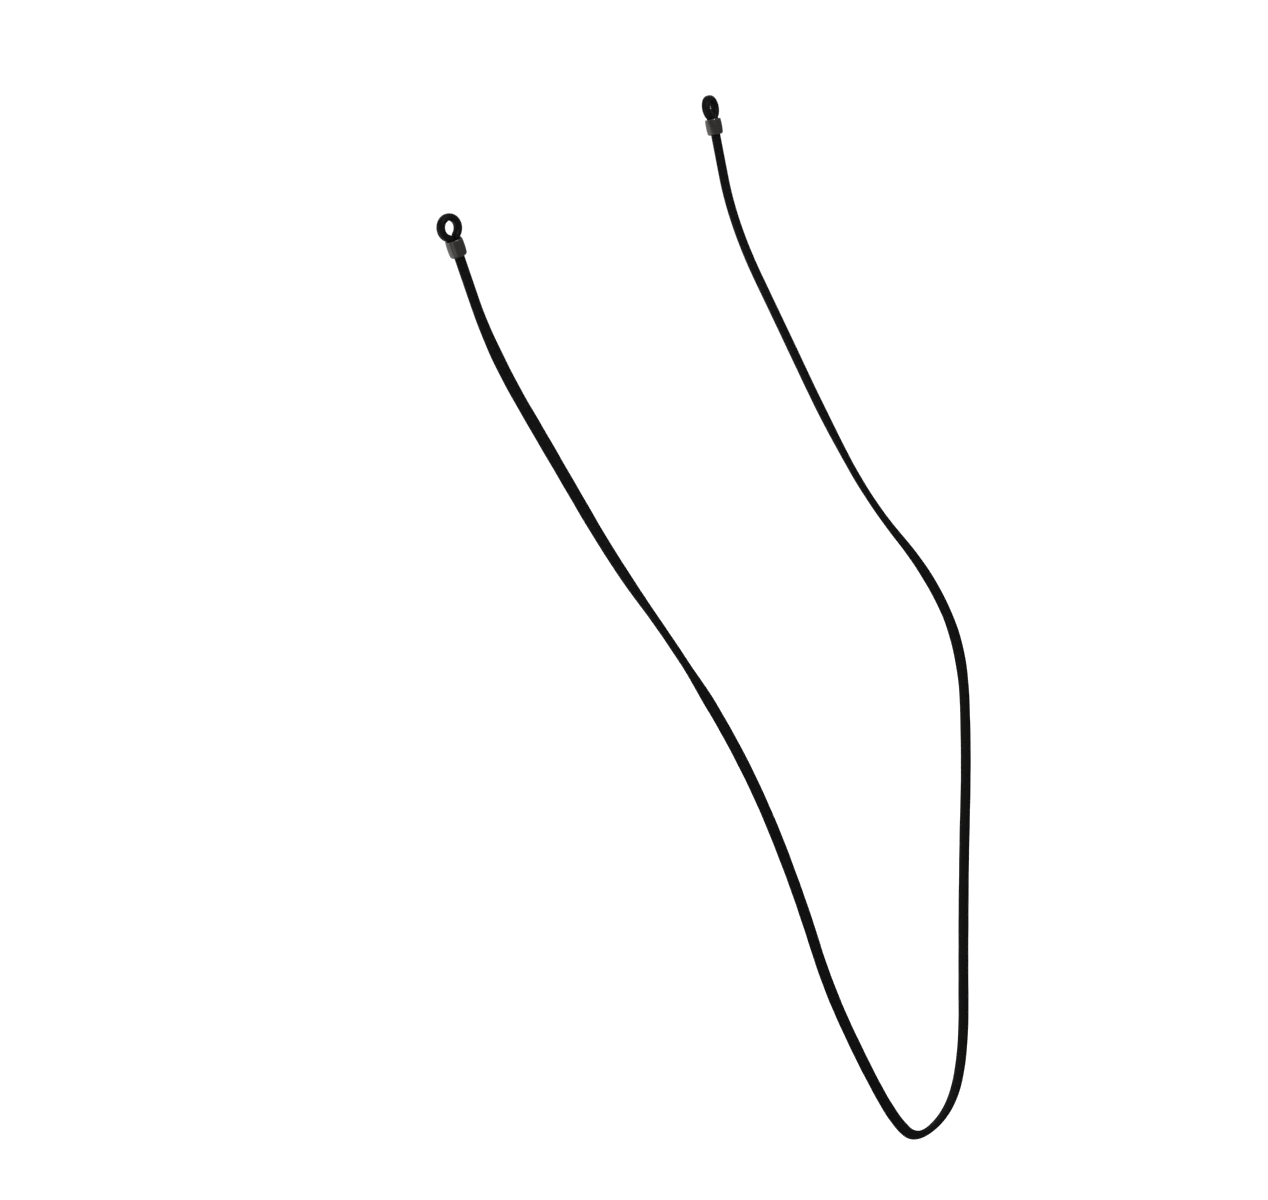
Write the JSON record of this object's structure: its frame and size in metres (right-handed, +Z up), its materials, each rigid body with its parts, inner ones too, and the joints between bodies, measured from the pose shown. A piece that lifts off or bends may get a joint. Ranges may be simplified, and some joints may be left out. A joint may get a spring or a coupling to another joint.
{
  "type": "eyeglass retainer strap",
  "caption": "Thin black cord with a small elastic loop and a sliding metal ferrule at each end, worn behind the neck to keep spectacles on.",
  "frame": {"origin": "centre of the left loop's opening, where the spectacle temple passes through", "axes": "+X to the wearer's left, +Y backwards along the temples, +Z up"},
  "size_m": [0.1469, 0.1092, 0.2588],
  "materials": {
    "cord_leather": "matte near-black, fine grain",
    "loop_rubber": "matte black moulded elastomer",
    "ferrule_gunmetal": "polished, dark gunmetal plating",
    "sleeve_brass": "bare, turned",
    "liner_silicone": "soft matte silicone"
  },
  "bodies": {
    "strap": {"strap_cord": "cord_leather", "left_temple_loop": "loop_rubber", "right_temple_loop": "loop_rubber", "left_cord_end_sleeve": "sleeve_brass", "right_cord_end_sleeve": "sleeve_brass"},
    "left_keeper": {"left_keeper_ferrule": "ferrule_gunmetal", "left_grip_liner": "liner_silicone"},
    "right_keeper": {"right_keeper_ferrule": "ferrule_gunmetal", "right_grip_liner": "liner_silicone"}
  },
  "joints": [
    {"name": "left_ferrule_slide", "type": "slide", "parent": "strap", "child": "left_keeper", "axis": [-0.123, 0.2767, -0.9531], "range_m": [0, 0.01]},
    {"name": "right_ferrule_slide", "type": "slide", "parent": "strap", "child": "right_keeper", "axis": [0.1078, 0.2772, -0.9548], "range_m": [0, 0.01]}
  ]
}
